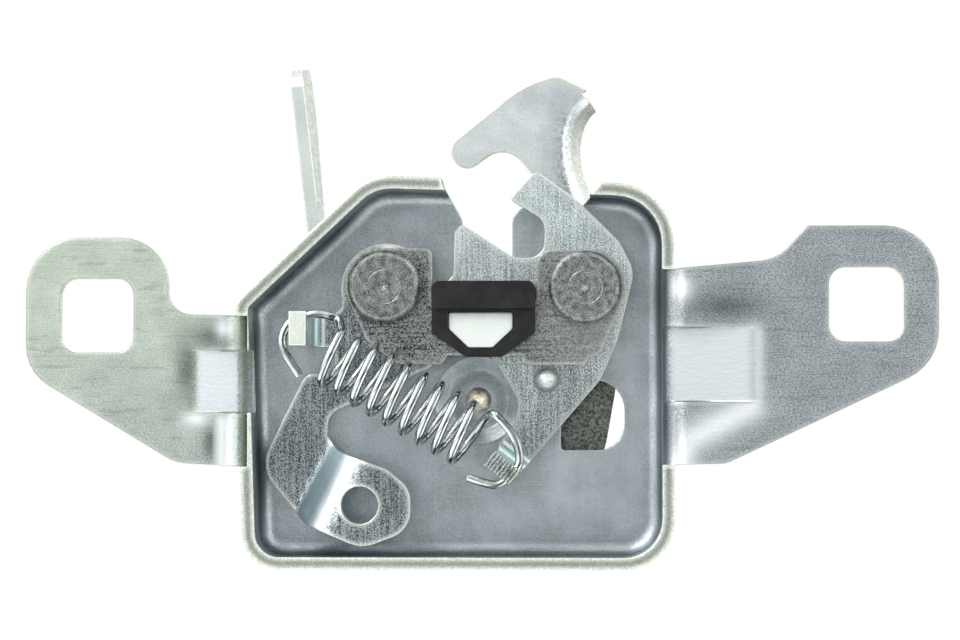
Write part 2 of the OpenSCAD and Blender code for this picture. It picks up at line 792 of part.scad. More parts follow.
// Side of the finger blade as [depth, height] from the arm's upper corner
blade_side = [
    [0, -13.6, 0], [7, -13.6, 2], [9, 3, 20], [blade_d, 22, 8],
    [blade_d - 1, 29.4, 3], [4, 28.2, 4], [0, 26.4, 2.2]
];

module safety_catch() color("silver") difference() {
    union() {
        plate(catch_y, catch_t) outline(shifted(catch_corners, catch_pivot));
        hook_flange();
        translate([blade_at[0], catch_y, blade_at[1]]) rotate([0, -blade_lean, 0])
            translate([-catch_t / 2, 0, 0]) rotate([90, 0, 90])
                linear_extrude(catch_t) outline(blade_side);
    }
    rod(catch_pivot, catch_pin_r + pivot_gap, catch_y - CUT, catch_y + catch_t + CUT);
}

// Pivot of the safety catch: dome in the dish, shoulder and spool behind it
module catch_rivet() color("goldenrod") turned(catch_pivot) polygon([
    [0, floor_y + dish_depth - 1.1], [0.9, floor_y + dish_depth - 0.9],
    [1.6, floor_y + dish_depth - 0.45], [2, floor_y + dish_depth],
    [catch_tenon_r, floor_y + dish_depth], [catch_tenon_r, dish_back],
    [catch_pin_r, dish_back], [catch_pin_r, catch_head_y],
    [catch_pin_r + 2, catch_head_y], [catch_pin_r + 2, catch_head_y + 1],
    [catch_pin_r + 1.4, catch_head_y + 1.5], [0, catch_head_y + 1.5]
]);

// Return spring: coil on the rivet's spool, one leg in the pan's floor and one hooked
// over the catch's right edge
return_r = catch_pin_r + 0.3 + return_d / 2;
return_gap = 0.15;
return_pitch = return_d + 0.05;
return_hook = catch_pivot + [20.75 + return_d / 2 + return_gap, 6];

// Angle at which a straight leg to a point leaves the coil's lower side
function leave_angle(to, way) =
    let (v = to - catch_pivot) atan2(v[1], v[0]) + way * acos(return_r / norm(v));

foot_angle = leave_angle(return_foot, 1) + 360;
hook_angle = leave_angle(return_hook, -1) + 360 * (return_turns + 1);

function return_point(a) =
    [catch_x + return_r * cos(a),
     return_y + return_d / 2 + return_pitch * (a - foot_angle) / 360,
     catch_z + return_r * sin(a)];

// Leg that runs to a point and then turns towards the front, from y0 to y1
function return_leg(to, from, y0, y1) =
    let (
        back = unit([from[0] - to[0], from[1] - to[1]]) * return_d,
        bend = return_d
    )
    [[to[0], y1, to[1]], [to[0], y0 - bend, to[1]],
     [to[0] + 0.3 * back[0], y0 - 0.3 * bend, to[1] + 0.3 * back[1]],
     [to[0] + back[0], y0, to[1] + back[1]]];

function turned_back(list) = [for (i = [len(list) - 1:-1:0]) list[i]];

module catch_spring() color("gray") {
    coil = [for (i = [0:return_steps])
        return_point(foot_angle + (hook_angle - foot_angle) * i / return_steps)];
    first = coil[0];
    last = coil[return_steps];
    wire(concat(
        return_leg(return_foot, [first[0], first[2]], first[1], floor_back - 1.2), coil,
        turned_back(return_leg(return_hook, [last[0], last[2]], last[1], catch_y + 0.3))
    ), return_d);
}

base_plate();
bridge_plate();
buffer();
pawl_rivet();
claw_rivet();
claw();
claw_stud();
pawl();
main_spring();
safety_catch();
catch_rivet();
catch_spring();
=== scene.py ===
"""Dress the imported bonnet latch: plated finishes, broken edges, drawn springs and a studio."""

import json
import math

import bmesh
import bpy
from bpy.props import FloatProperty, FloatVectorProperty, IntProperty, PointerProperty
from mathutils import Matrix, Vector


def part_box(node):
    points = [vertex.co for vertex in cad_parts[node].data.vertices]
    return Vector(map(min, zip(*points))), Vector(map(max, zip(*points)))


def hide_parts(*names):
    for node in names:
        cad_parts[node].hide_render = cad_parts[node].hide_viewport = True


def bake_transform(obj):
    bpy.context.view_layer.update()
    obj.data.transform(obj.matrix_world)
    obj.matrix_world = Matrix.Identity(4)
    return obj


bl_info = {
    "name": "Bonnet Latch Dresser",
    "version": (1, 0, 0),
    "blender": (4, 5, 0),
    "location": "View3D > Sidebar > Latch",
    "description": "Finishes, springs and studio for a pressed steel bonnet latch",
    "category": "Object",
}

MM = 0.001

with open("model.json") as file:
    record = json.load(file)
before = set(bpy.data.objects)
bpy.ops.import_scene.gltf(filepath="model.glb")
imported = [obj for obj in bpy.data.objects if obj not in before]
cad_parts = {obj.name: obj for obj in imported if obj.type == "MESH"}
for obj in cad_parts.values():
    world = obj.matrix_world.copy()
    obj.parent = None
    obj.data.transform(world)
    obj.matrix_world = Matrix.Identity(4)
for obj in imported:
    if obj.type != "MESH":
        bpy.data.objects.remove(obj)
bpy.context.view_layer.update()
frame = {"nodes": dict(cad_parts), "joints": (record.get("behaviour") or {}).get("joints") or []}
PIVOTS = {joint["name"]: Vector(joint["pos_m"]) for joint in frame["joints"]}
CLAW_PIVOT = PIVOTS["claw_turn"]
PAWL_PIVOT = PIVOTS["pawl_turn"]
CATCH_PIVOT = PIVOTS["catch_turn"]
STUD_MIDDLE = sum((Vector(corner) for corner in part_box("claw_stud")), Vector()) / 2

# Middles of the two spring tabs, and the ways across them to their bends as a cosine and sine
PAWL_TAB = PAWL_PIVOT + Vector((-12.25, 0.0, -6.4)) * MM
CLAW_TAB = CLAW_PIVOT + Vector((-12.1, 0.0, -26.8)) * MM
CLAW_TAB_TURN = math.radians(52.0)
PAWL_TAB_WAY = (1.0, 0.0)
CLAW_TAB_WAY = (math.cos(CLAW_TAB_TURN), math.sin(CLAW_TAB_TURN))


# Settings

def tone(label, text, value):
    """A colour setting."""
    return FloatVectorProperty(name=label, description=text, subtype="COLOR", size=3,
                               min=0.0, max=1.0, default=value)


def length(label, text, value_mm):
    """A length setting, given in millimetres."""
    return FloatProperty(name=label, description=text, unit="LENGTH", min=0.0,
                         precision=5, default=value_mm * MM)


def angle(label, text, degrees):
    """An angle setting, given in degrees."""
    return FloatProperty(name=label, description=text, subtype="ANGLE",
                         default=math.radians(degrees))


def power(label, text, watts):
    """A light's power setting."""
    return FloatProperty(name=label, description=text, subtype="POWER", default=watts, min=0.0)


class LatchFinish(bpy.types.PropertyGroup):
    """Colours and edge breaks of the latch's pieces."""

    # Ear tints: partly the plating's colour, partly painted light that makes the left ear lighter
    ear_left: tone("Left ear", "Yellowish plating of the left ear", (0.56, 0.63, 0.53))
    ear_right: tone("Right ear", "Bluish plating of the right ear", (0.39, 0.428, 0.447))
    # Floor tint: partly painted shade of the recess
    floor_shaded_tint: tone("Pan floor", "Dull drawn floor of the pan", (0.39, 0.43, 0.45))
    # Painted shade on the pan's walls
    wall_shade_tint: tone("Pan wall", "Dark drawn walls of the pan", (0.24, 0.28, 0.31))
    edge_tint: tone("Sheared edge", "Pale edge left by the press", (0.82, 0.87, 0.77))
    # Gusset tone: smooth plating, and partly a painted tone standing in for the light on the slanted
    # gussets
    gusset_lit_tint: tone("Gussets", "Smooth plating on the pressed gussets", (0.50, 0.53, 0.545))
    # Painted highlight: bright reflections painted on the ears, the tabs' bends and the pawl
    highlight_tint: tone("Burnish", "Bright metal rubbed by the press tool", (0.90, 0.94, 0.94))
    # Painted shade: a dark line along the edges of the ears
    edge_shade_tint: tone("Edge line", "Dull line along the edges of the ears", (0.23, 0.25, 0.20))
    claw_tint: tone("Claw", "Sandy plating of the claw", (0.68, 0.755, 0.765))
    cover_tint: tone("Bridge plate", "Sandy plating of the bridge plate", (0.275, 0.285, 0.285))
    cover_plain: tone("Bridge plate, right", "Even plating of its right arm", (0.40, 0.43, 0.42))
    tongue_tint: tone("Tongue", "Polished tongue that holds the buffer", (0.72, 0.76, 0.72))
    pawl_tint: tone("Pawl", "Sandy plating of the pawl", (0.325, 0.37, 0.385))
    ramp_tint: tone("Pawl ramp", "Smooth bluish plating of the pawl's ramp", (0.47, 0.58, 0.62))
    flank_tint: tone("Tab flanks", "Bluish plating of the tabs' flanks", (0.46, 0.575, 0.56))
    catch_tint: tone("Catch", "Smooth plating of the safety catch", (0.78, 0.84, 0.85))
    # Painted shade on the catch's foot
    catch_shade: tone("Catch, greased", "Greasy foot of the safety catch", (0.165, 0.172, 0.155))
    rivet_light: tone("Rivet, light", "Crests of the turned rivet heads", (0.34, 0.36, 0.345))
    rivet_dark: tone("Rivet, dark", "Grooves of the turned rivet heads", (0.05, 0.055, 0.052))
    stud_light: tone("Stud", "Crests of the stud on the claw", (0.66, 0.69, 0.70))
    grease_light: tone("Grease, light", "Pale grease on the rivet dome", (0.95, 0.91, 0.81))
    grease_dark: tone("Grease, dark", "Old grease on the rivet dome", (0.30, 0.25, 0.15))
    wire_light: tone("Wire, light", "Drawn spring wire", (0.86, 0.89, 0.89))
    wire_dark: tone("Wire, dark", "Dull bands on the spring wire", (0.52, 0.55, 0.55))
    rubber: tone("Rubber", "Moulded buffer", (0.006, 0.006, 0.006))
    rubber_dust: tone("Rubber dust", "Dusty patches of the buffer", (0.014, 0.014, 0.014))
    edge_break: length("Edge break", "Rounding of the sheared edges", 0.3)
    rim_break: length("Rim break", "Rounding of the pan's rim and the ears", 0.4)


class LatchSpring(bpy.types.PropertyGroup):
    """Sizes of the two springs, as in the part's source."""

    wire: length("Main wire", "Wire diameter of the main spring", 1.25)
    coil: length("Main coil", "Outer diameter of the main spring", 10.2)
    turns: IntProperty(name="Turns", description="Turns of the main spring", default=9, min=3)
    back_wire: length("Return wire", "Wire diameter of the return spring", 1.2)
    sides: IntProperty(name="Sides", description="Faces round the wire", default=18, min=8)


class LatchStage(bpy.types.PropertyGroup):
    """Camera and studio."""

    distance: length("Distance", "Camera to the ears", 430.0)
    azimuth: angle("Azimuth", "Camera towards the right", 2.5)
    elevation: angle("Elevation", "Camera upwards", -2.0)
    view_width: length("View width", "Width of the view at the ears", 142.64)
    aim_height: length("Aim below", "Aim of the camera below the bolt holes", 1.43)
    floor_drop: length("Floor drop", "Floor below the bolt holes", 120.0)
    floor_radius: length("Floor radius", "Radius of the round floor", 300.0)
    key_power: power("Key", "Power of the key light", 1.4)
    fill_power: power("Fill", "Power of the fill light", 0.25)


# Shader helpers

# Rays that look for edges round a shaded point
EDGE_SAMPLES = 6


class Finish:
    """A new material and the shader nodes that make its looks."""

    def __init__(self, name, metallic=1.0):
        self.material = bpy.data.materials.new(name)
        self.material.use_nodes = True
        self.tree = self.material.node_tree
        self.shader = self.tree.nodes["Principled BSDF"]
        self.shader.inputs["Metallic"].default_value = metallic
        self.coords = self.tree.nodes.new("ShaderNodeTexCoord")

    def put(self, socket, value):
        """Link a node's output into a socket, or set its plain value."""
        if isinstance(value, bpy.types.NodeSocket):
            self.tree.links.new(value, socket)
        elif socket.type == "RGBA":
            socket.default_value = (*value, 1.0)
        else:
            socket.default_value = value

    def math(self, operation, *values):
        """One step of arithmetic on numbers or sockets."""
        node = self.tree.nodes.new("ShaderNodeMath")
        node.operation = operation
        for socket, value in zip(node.inputs, values):
            self.put(socket, value)
        return node.outputs[0]

    def product(self, first, *others):
        """Product of two or more values."""
        for value in others:
            first = self.math("MULTIPLY", first, value)
        return first

    def together(self, first, *others):
        """Union of soft masks."""
        for mask in others:
            first = self.math("MAXIMUM", first, mask)
        return first

    def total(self, *weighted):
        """Sum of value and weight pairs."""
        terms = [self.math("MULTIPLY", value, weight) for value, weight in weighted]
        summed = terms[0]
        for term in terms[1:]:
            summed = self.math("ADD", summed, term)
        return summed

    def inverse(self, mask):
        """1 where a mask is 0."""
        return self.math("SUBTRACT", 1.0, mask)

    def spread(self, value, low, high, out_low=0.0, out_high=1.0):
        """Map low..high to out_low..out_high, clamped."""
        node = self.tree.nodes.new("ShaderNodeMapRange")
        for socket, part in zip(node.inputs, (value, low, high, out_low, out_high)):
            self.put(socket, part)
        return node.outputs[0]

    def spread_mm(self, value, low_mm, high_mm, out_low=0.0, out_high=1.0):
        """Map a range given in millimetres."""
        return self.spread(value, low_mm * MM, high_mm * MM, out_low, out_high)

    def parts(self, vector):
        """X, Y and Z of a vector."""
        node = self.tree.nodes.new("ShaderNodeSeparateXYZ")
        self.put(node.inputs[0], vector)
        return node.outputs

    def place(self):
        """X, Y and Z of the shaded point, in the part's frame."""
        return self.parts(self.coords.outputs["Object"])

    def facing(self):
        """X, Y and Z of the surface's direction, in the part's frame."""
        return self.parts(self.coords.outputs["Normal"])

    def along(self, way):
        """Place along a way in the front plane, the way as a cosine and sine."""
        x, _, z = self.place()
        return self.total((x, way[0]), (z, way[1]))

    def noise(self, scale, detail=4.0, roughness=0.55, stretch=(1.0, 1.0, 1.0)):
        """Noise in the part's frame, scale in features per metre."""
        mapping = self.tree.nodes.new("ShaderNodeMapping")
        self.put(mapping.inputs["Vector"], self.coords.outputs["Object"])
        mapping.inputs["Scale"].default_value = [scale * s for s in stretch]
        node = self.tree.nodes.new("ShaderNodeTexNoise")
        self.put(node.inputs["Vector"], mapping.outputs[0])
        node.inputs["Scale"].default_value = 1.0
        node.inputs["Detail"].default_value = detail
        node.inputs["Roughness"].default_value = roughness
        return node.outputs["Fac"]

    def side_mask(self):
        """1 on sheared sides, 0 on faces towards the front or back."""
        return self.spread(self.math("ABSOLUTE", self.facing()["Y"]), 0.75, 0.35)

    def border(self, reach_mm, low=0.97, high=0.62):
        """1 on the outer edges of a sheet, falling to 0 at a distance from them."""
        node = self.tree.nodes.new("ShaderNodeAmbientOcclusion")
        node.inside = True
        node.only_local = True
        node.samples = EDGE_SAMPLES
        node.inputs["Distance"].default_value = reach_mm * MM
        return self.spread(node.outputs["AO"], low, high)

    def hill(self, centre_mm, reach_mm):
        """Soft hill in the front plane, 1 at its centre, with its reach along X and Z."""
        x, _, z = self.place()
        squares = [
            self.math("POWER", self.math("DIVIDE", self.math("SUBTRACT", value, middle * MM),
                                         reach * MM), 2.0)
            for value, middle, reach in zip((x, z), centre_mm, reach_mm)]
        return self.math("EXPONENT", self.math("MULTIPLY", self.math("ADD", *squares), -1.0))

    def stroke(self, start_mm, end_mm, reach_mm):
        """Soft stroke in the front plane between two points."""
        x, _, z = self.place()
        start, end = Vector(start_mm) * MM, Vector(end_mm) * MM
        way = (end - start).normalized()
        gone = self.spread(self.along(way), start.dot(way), end.dot(way), 0.0, (end - start).length)
        squares = [
            self.math("POWER", self.math("SUBTRACT", self.math("SUBTRACT", value, low),
                                         self.math("MULTIPLY", gone, step)), 2.0)
            for value, low, step in zip((x, z), start, way)]
        return self.math("EXPONENT", self.math("DIVIDE", self.math("ADD", *squares),
                                               -(reach_mm * MM) ** 2))

    def patch(self, box_mm, soft_mm):
        """Soft-edged rectangle in the front plane, from its low and high X and Z."""
        x, _, z = self.place()
        return self.product(*(
            self.spread_mm(value, edge - way * soft_mm, edge + way * soft_mm)
            for value, edge, way in zip((x, z, x, z), box_mm, (1, 1, -1, -1))))

    def from_axis(self, centre):
        """Distance from an axis along Y."""
        x, _, z = self.place()
        return self.math("SQRT", self.math(
            "ADD", self.math("POWER", self.math("SUBTRACT", x, centre.x), 2.0),
            self.math("POWER", self.math("SUBTRACT", z, centre.z), 2.0)))

    def band(self, away, low_mm, high_mm, soft_mm):
        """Soft band between two distances, a ring where they are from an axis."""
        return self.product(self.spread_mm(away, low_mm - soft_mm, low_mm + soft_mm),
                            self.spread_mm(away, high_mm + soft_mm, high_mm - soft_mm))

    def mix(self, factor, low, high):
        """Mix of two colours."""
        node = self.tree.nodes.new("ShaderNodeMix")
        node.data_type = "RGBA"
        self.put(node.inputs["Factor"], factor)
        colours = [s for s in node.inputs if s.type == "RGBA"]
        self.put(colours[0], low)
        self.put(colours[1], high)
        return next(s for s in node.outputs if s.type == "RGBA")

    def shade(self, colour, factor):
        """Colour multiplied by a grey factor."""
        node = self.tree.nodes.new("ShaderNodeVectorMath")
        node.operation = "SCALE"
        self.put(node.inputs[0], colour)
        self.put(node.inputs["Scale"], factor)
        return node.outputs[0]

    def colour(self, value):
        """Set the base colour."""
        self.put(self.shader.inputs["Base Color"], value)

    def so_far(self):
        """Base colour as it stands."""
        return self.shader.inputs["Base Color"].links[0].from_socket

    def paint(self, mask, tint):
        """Cover the base colour with a tint where the mask is 1."""
        self.colour(self.mix(mask, self.so_far(), tint))

    def scale_where(self, mask, factor):
        """Multiply the base colour by a factor where the mask is 1."""
        self.colour(self.shade(self.so_far(), self.spread(mask, 0.0, 1.0, 1.0, factor)))

    def roughness(self, value):
        """Set the roughness."""
        self.put(self.shader.inputs["Roughness"], value)

    def bump(self, height, strength, depth_mm, rounding=0.0):
        """Fine relief on a surface whose sharp edges look rounded."""
        node = self.tree.nodes.new("ShaderNodeBump")
        node.inputs["Strength"].default_value = strength
        node.inputs["Distance"].default_value = depth_mm * MM
        if rounding > 0.0:
            soft = self.tree.nodes.new("ShaderNodeBevel")
            soft.samples = EDGE_SAMPLES
            soft.inputs["Radius"].default_value = rounding
            self.put(node.inputs["Normal"], soft.outputs["Normal"])
        self.put(node.inputs["Height"], height)
        self.put(self.shader.inputs["Normal"], node.outputs[0])


# Grains of brushed and drawn metal, as the noise's scale along each axis
ALONG_X = (0.05, 1.0, 1.0)
ALONG_Y = (1.0, 0.04, 1.0)
ALONG_Z = (1.0, 1.0, 0.05)
SCRATCHES = (0.12, 1.0, 1.0)
LONG_SPECKS = (0.55, 1.0, 1.0)


# Finish of the pan and its ears

# Places on the ears in millimetres that get painted highlights, painted shade or the gussets'
# painted tone:
# rectangles by their low and high X and Z and their soft edge, hills by their middle and
# their reach, strokes by their two ends and their reach
GUSSET_BOXES = (((-41.9, -15.2, -36.4, -5.6), 0.3), ((28.6, -13.6, 41.0, -2.4), 0.6))
HIGHLIGHT_BOXES = (((-39.1, -24.0, -36.6, -15.6), 0.7),)
HIGHLIGHT_HILLS = (((-38.0, -2.6), (1.2, 1.4)), ((-42.2, -16.1), (2.0, 1.1)),
                ((30.0, 3.3), (1.5, 1.9)))
HIGHLIGHT_STROKES = (((40.4, -3.6), (40.4, -14.0), 1.5), ((39.8, -14.4), (31.4, -19.0), 2.2),
                  ((31.0, -19.4), (29.2, -24.0), 2.0))
SHADE_HILLS = (((-43.6, -8.4), (1.7, 4.6)), ((-40.0, -3.9), (3.6, 1.9)), ((36.2, 0.6), (5.4, 1.9)),
              ((-40.0, -19.6), (1.2, 2.6)))
# Soft edges of the pan's inside and of its rim along X, in millimetres
PAN_LEFT = (-34.7, -34.2)
PAN_RIGHT = (28.4, 27.6)
RIM_LEFT = (-37.0, -36.4)
RIM_RIGHT = (29.6, 29.0)
# Soft edges of the rim, the walls and the floor along Y, in millimetres
RIM_DEPTH = (-1.2, -1.6)
WALL_DEPTH = (-1.3, -0.8)
FLOOR_DEPTH = (1.0, 4.0)
# Change from the left ear's tint to the right one's, partly plating and partly painted light,
# lighter
# towards the upper left: its ends along X in millimetres, its slant with Z as a ratio, and its
# unevenness in millimetres
TINT_ENDS = (-32.0, 60.0)
LIT_SLANT = -1.5
TINT_MOTTLE = 60.0
# Rings round the dish: inner and outer radius and soft edge in millimetres
DISH_SHADOW = (2.6, 4.2, 0.5)
DISH_LINE = (6.45, 6.78, 0.12)


class PanFinish(Finish):
    """Plated sheet, painted in layers: ears, floor, walls and rim."""

    def __init__(self, settings):
        super().__init__("zinc_bright_sheet")
        self.settings = settings
        self.x, self.y, self.z = self.place()
        self.patches = self.noise(190.0, 5.0, 0.6)
        self.drawn = self.noise(1500.0, 3.0, 0.6, ALONG_Z)
        self.specks = self.noise(5600.0, 2.0, 0.6, LONG_SPECKS)
        self.scratch = self.noise(1900.0, 2.0, 0.5, SCRATCHES)
        self.shear = self.noise(3600.0, 4.0, 0.65, ALONG_Y)
        self.side = self.side_mask()
        self.edge = self.border(0.8)
        self.in_pan = self.product(self.spread_mm(self.x, *PAN_LEFT),
                                   self.spread_mm(self.x, *PAN_RIGHT))
        self.near_rim = self.product(self.spread_mm(self.x, *RIM_LEFT),
                                     self.spread_mm(self.x, *RIM_RIGHT),
                                     self.spread_mm(self.y, *RIM_DEPTH))
        # Painted highlights: bright reflections painted on the ears
        self.bright = self.together(*(self.patch(*place) for place in HIGHLIGHT_BOXES),
                                    *(self.hill(*place) for place in HIGHLIGHT_HILLS),
                                    *(self.stroke(*place) for place in HIGHLIGHT_STROKES))
        # Gussets, painted one even tone that partly stands in for their light
        self.gusset = self.together(*(self.patch(*place) for place in GUSSET_BOXES))

    def ears(self):
        """Tint from ear to ear, partly painted light, with specks, scratches, painted highlights,
        painted shade and a painted shade line along the edges.
        """
        settings = self.settings
        mottle = self.noise(70.0, 5.0)
        # Partly painted light: lighter towards the upper left
        across = self.spread_mm(
            self.total((self.x, 1.0), (self.z, LIT_SLANT), (mottle, TINT_MOTTLE * MM)), *TINT_ENDS)
        tint = self.mix(across, settings.ear_left, settings.ear_right)
        speckle = self.spread(self.specks, 0.40, 0.60, self.spread(across, 0.0, 1.0, 0.80, 0.52),
                              self.spread(across, 0.0, 1.0, 1.1, 1.32))
        scratched = self.spread(self.scratch, 0.30, 0.42, 0.78, 1.0)
        patchy = self.spread(self.patches, 0.35, 0.68, 0.88, 1.08)
        self.colour(self.shade(tint, self.product(speckle, scratched, patchy)))
        self.paint(self.product(self.edge, 0.3), settings.edge_tint)
        # Painted shade: darker hills on the ears
        dull = self.together(*(self.hill(*place) for place in SHADE_HILLS))
        self.scale_where(self.product(dull, self.spread(self.patches, 0.3, 0.6, 0.6, 1.1)), 0.42)
        # Painted highlights on the ears
        self.paint(self.bright, settings.highlight_tint)
        # Gussets' tone, partly painted light
        self.paint(self.gusset, settings.gusset_lit_tint)
        # Painted shade: a dark line along the edges of the ears
        edge_shade_line = self.border(0.3, 0.9, 0.6)
        self.paint(self.product(edge_shade_line, 0.75), settings.edge_shade_tint)

    def floor(self):
        """Dull drawn floor, darkened in part by painted shade of the recess, with a painted shadow
        and a fine line round the dish.
        """
        value = self.total((self.patches, 0.4), (self.drawn, 0.1), (self.specks, 0.5))
        # Floor tint, darkened in part as painted shade of the recess
        tint = self.shade(self.settings.floor_shaded_tint, self.spread(value, 0.40, 0.60, 0.74, 1.2))
        from_dish = self.from_axis(CATCH_PIVOT)
        rings = self.total((self.band(from_dish, *DISH_SHADOW), 0.28),
                           (self.band(from_dish, *DISH_LINE), 0.25))
        deep = self.product(self.in_pan, self.spread_mm(self.y, *FLOOR_DEPTH))
        self.paint(deep, self.shade(tint, self.inverse(rings)))

    def walls(self):
        """Pale sheared sides, and painted shade on the walls inside the pan."""
        sheared = self.shade(self.settings.edge_tint, self.spread(self.shear, 0.36, 0.60, 0.62, 1.0))
        # Painted shade: the walls inside the pan painted dark
        wall = self.shade(self.settings.wall_shade_tint, self.spread(self.drawn, 0.38, 0.62, 0.8, 1.25))
        inside = self.product(self.in_pan, self.spread_mm(self.y, *WALL_DEPTH))
        self.paint(self.side, self.mix(inside, sheared, wall))

    def rim(self):
        """Pale rim in torn layers."""
        layers = self.product(self.spread(self.edge, 0.1, 0.75, 0.42, 0.95),
                              self.spread(self.shear, 0.36, 0.62, 0.7, 1.05))
        self.paint(self.near_rim, self.shade(self.settings.edge_tint, layers))

    def surface(self):
        """Gloss and relief, smoother under the painted highlights and on the gussets, and torn on
        its rim.
        """
        self.roughness(self.spread(self.specks, 0.40, 0.60, 0.46, 0.34))
        streak = self.noise(2600.0, 4.0, 0.6, ALONG_X)
        unhighlighted = self.inverse(self.together(self.bright, self.gusset))
        torn = self.product(self.shear, self.together(self.side, self.near_rim))
        relief_mm = self.total((streak, 0.02), (self.product(self.specks, unhighlighted), 0.03),
                               (self.scratch, 0.02), (torn, 0.05))
        self.bump(relief_mm, 1.0, 1.0, self.settings.rim_break)


def pan_finish(settings):
    """Plated sheet: tinted ears with painted light, a dull drawn floor and dark walls with painted
    shade, and a torn pale rim.
    """
    finish = PanFinish(settings)
    finish.ears()
    finish.floor()
    finish.walls()
    finish.rim()
    finish.surface()
    return finish.material


# Finishes of the levers, the bridge plate and the catch

def plated_finish(name, tint, settings, grain, sand, gloss, depth_mm, border_mm, pale_border=0.75):
    """Zinc-plated sheet: sandy specks, brushed grain, mottling, pale borders and sheared sides."""
    finish = Finish(name)
    mottle = finish.noise(160.0, 4.0)
    streak = finish.noise(2800.0, 3.0, 0.6, grain)
    specks = finish.noise(4800.0, 3.0, 0.65)
    shear = finish.noise(4200.0, 3.0, 0.6, ALONG_Y)
    side = finish.side_mask()
    border = finish.border(border_mm)
    sandy = finish.spread(finish.total((specks, 0.75), (streak, 0.25)), 0.42, 0.58)
    speckle = finish.spread(sandy, 0.0, 1.0, 1.0 - sand, 1.0 + sand * 0.45)
    patchy = finish.spread(mottle, 0.35, 0.65, 0.82, 1.12)
    finish.colour(finish.shade(tint, finish.product(speckle, patchy)))
    pale = finish.shade(settings.edge_tint, finish.spread(sandy, 0.0, 1.0, 0.86, 1.0))
    finish.paint(finish.product(border, pale_border), pale)
    finish.paint(side, finish.shade(settings.edge_tint, finish.spread(shear, 0.36, 0.62, 0.55, 1.0)))
    finish.roughness(finish.spread(sandy, 0.0, 1.0, gloss[1], gloss[0]))
    relief = finish.total((finish.product(specks, finish.inverse(border)), 1.0), (streak, 0.3),
                          (finish.product(shear, side), 1.2))
    finish.bump(relief, 0.6, depth_mm, settings.edge_break)
    return finish


# Spring tabs in millimetres: soft edges of the front end and of what lies behind it along Y,
# and of the half width, then the flank and the painted highlight along the bend by their
# distances from the tab's middle and their soft edge
TAB_END = (-5.2, -5.5)
TAB_BEHIND_END = (-5.4, -5.1)
TAB_HALF_WIDTH = (2.6, 2.4)
TAB_FLANK = (1.0, 2.35, 0.08)
TAB_BEND_LINE = (2.6, 3.15, 0.12)
# Distance between the shear ticks on a tab's front end
TICK_PITCH = 0.55 * MM


def turned_left(way):
    """Way a quarter turn to the left."""
    return (-way[1], way[0])


def hatch_tab(finish, way):
    """Fine shear ticks across the front end of a spring tab."""
    wobble = finish.noise(1200.0, 2.0)
    phase = finish.total((finish.along(turned_left(way)), math.tau / TICK_PITCH), (wobble, 4.0))
    ticks = finish.spread(finish.math("SINE", phase), -0.6, 0.6, 0.40, 1.25)
    end = finish.spread_mm(finish.place()["Y"], *TAB_END)
    finish.paint(end, finish.shade(finish.so_far(), ticks))


def bent_flank(finish, tab, way, settings):
    """Bluish flank of a spring tab, and a painted highlight along the line where its bend runs into
    the plate.
    """
    middle = Vector((tab.x, tab.z))
    side_way = turned_left(way)
    off = finish.math("SUBTRACT", finish.along(way), middle.dot(way))
    aside = finish.math("SUBTRACT", finish.along(side_way), middle.dot(side_way))
    wide = finish.spread_mm(finish.math("ABSOLUTE", aside), *TAB_HALF_WIDTH)
    behind = finish.product(wide, finish.spread_mm(finish.place()["Y"], *TAB_BEHIND_END))
    finish.paint(finish.product(behind, finish.band(off, *TAB_FLANK)), settings.flank_tint)
    # Painted highlight along the tab's bend
    finish.paint(finish.product(behind, finish.band(off, *TAB_BEND_LINE)), settings.highlight_tint)


# Heights on the claw in millimetres between which it is painted lighter upwards, painted shade
# towards the bottom, and plainer
CLAW_LIT_RISE = (-16.0, 14.0)
CLAW_PLAINER = (-12.0, 10.0)
# Painted shadow round the stud: inner and outer radius and soft edge in millimetres
STUD_SHADOW_RING = (1.6, 2.0, 0.2)


def claw_finish(settings):
    """Sandy claw, painted lighter towards its prongs and darker towards its tail as painted shade,
    with a hatched spring tab.
    """
    finish = plated_finish("zinc_sandy_claw", settings.claw_tint, settings, ALONG_Z, sand=0.85,
                           gloss=(0.32, 0.46), depth_mm=0.05, border_mm=1.0)
    z = finish.place()["Z"]
    # Painted shade: darker towards the bottom, lighter towards the prongs
    finish.colour(finish.shade(finish.so_far(), finish.spread_mm(z, *CLAW_LIT_RISE, 0.66, 1.02)))
    finish.paint(finish.spread_mm(z, *CLAW_PLAINER, 0.0, 0.22), settings.claw_tint)
    # Painted shadow round the stud
    finish.scale_where(finish.band(finish.from_axis(STUD_MIDDLE), *STUD_SHADOW_RING), 0.45)
    hatch_tab(finish, CLAW_TAB_WAY)
    bent_flank(finish, CLAW_TAB, CLAW_TAB_WAY, settings)
    return finish.material


# Bridge plate in millimetres: its plain right arm along X, its polished tongue along Y
PLAIN_ARM = (2.0, 16.0)
TONGUE_DEPTH = (1.75, 1.55)


def cover_finish(settings):
    """Dark sandy bridge plate with a plainer right arm and a polished tongue."""
    finish = plated_finish("zinc_sandy_cover", settings.cover_tint, settings, ALONG_X, sand=0.95,
                           gloss=(0.34, 0.50), depth_mm=0.06, border_mm=0.7, pale_border=0.4)
    x, y, _ = finish.place()
    finish.paint(finish.spread_mm(x, *PLAIN_ARM, 0.0, 0.35), settings.cover_plain)
    finish.paint(finish.spread_mm(y, *TONGUE_DEPTH), settings.tongue_tint)
    return finish.material


# Pawl in millimetres: the ramp to its cable eye by its height, back, front and the painted
# highlight along its edge, and the painted highlight on top of its boss by its middle and reach
RAMP_TOP = (-13.0, -15.0)
RAMP_BACK = (4.1, 3.5)
RAMP_FRONT = (-0.9, 0.4)
RAMP_HIGHLIGHT = (1.7, 0.5)
PAWL_CREST = ((-14.0, 9.75), (1.5, 0.45))


